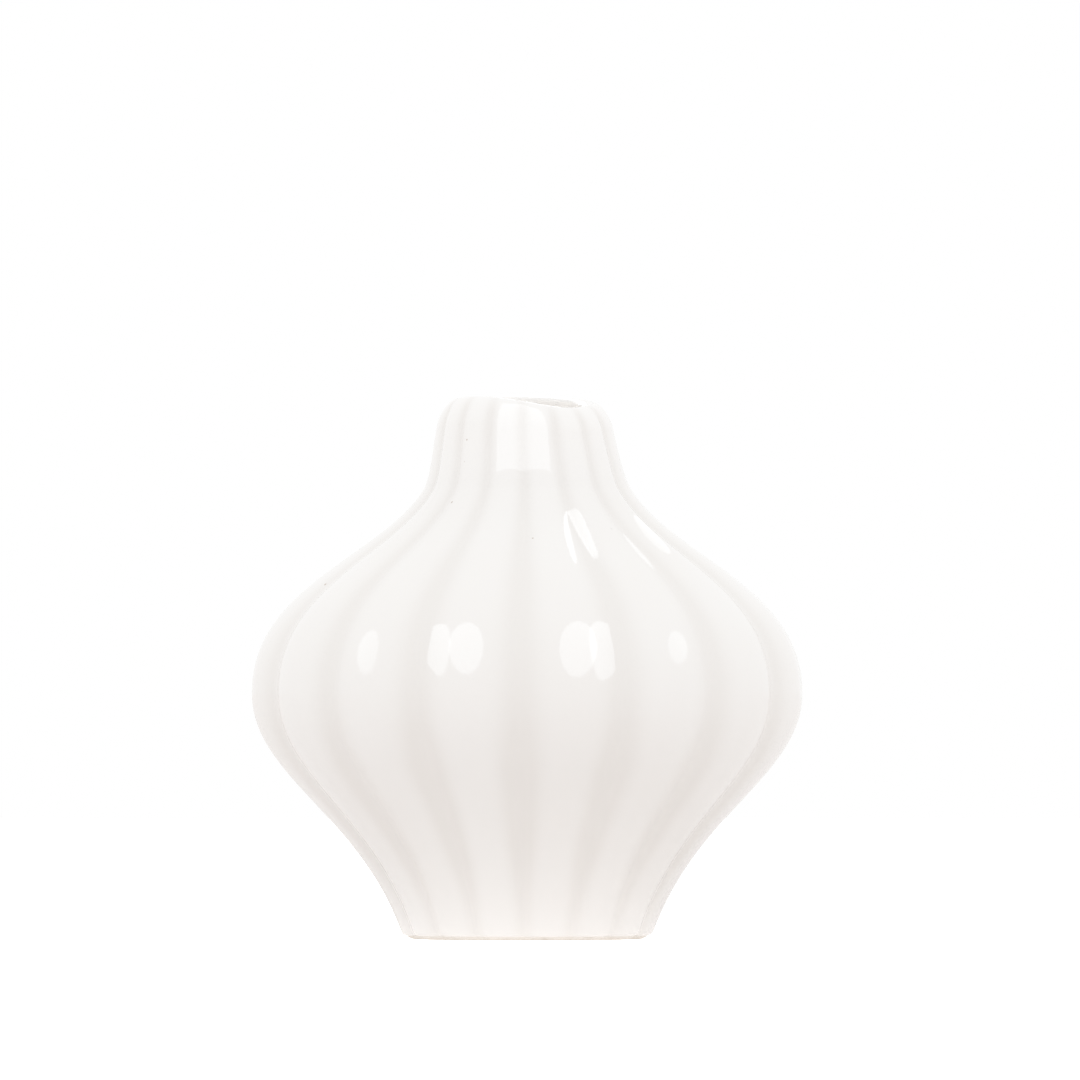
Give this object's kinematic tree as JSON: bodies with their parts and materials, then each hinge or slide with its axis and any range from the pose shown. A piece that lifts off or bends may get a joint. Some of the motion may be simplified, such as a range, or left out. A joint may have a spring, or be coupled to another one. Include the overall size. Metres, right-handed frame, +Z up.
{
  "type": "vase",
  "caption": "Small onion-shaped ceramic vase with upright lobes, a narrow neck and an open mouth, for a few stems in water.",
  "frame": {"origin": "centre of the foot ring, on the surface that the vase stands on", "axes": "+Z up along the vase's axis to the mouth; -Y points out of a groove between two lobes"},
  "size_m": [0.121, 0.121, 0.12],
  "materials": {
    "bare_clay": "matt, unglazed",
    "white_glaze": "glossy",
    "liner_glaze": "glossy"
  },
  "bodies": {
    "root": {"clay_body": "bare_clay", "outer_glaze": "white_glaze", "liner_glaze": "liner_glaze", "foot_well_glaze": "white_glaze"}
  },
  "joints": []
}
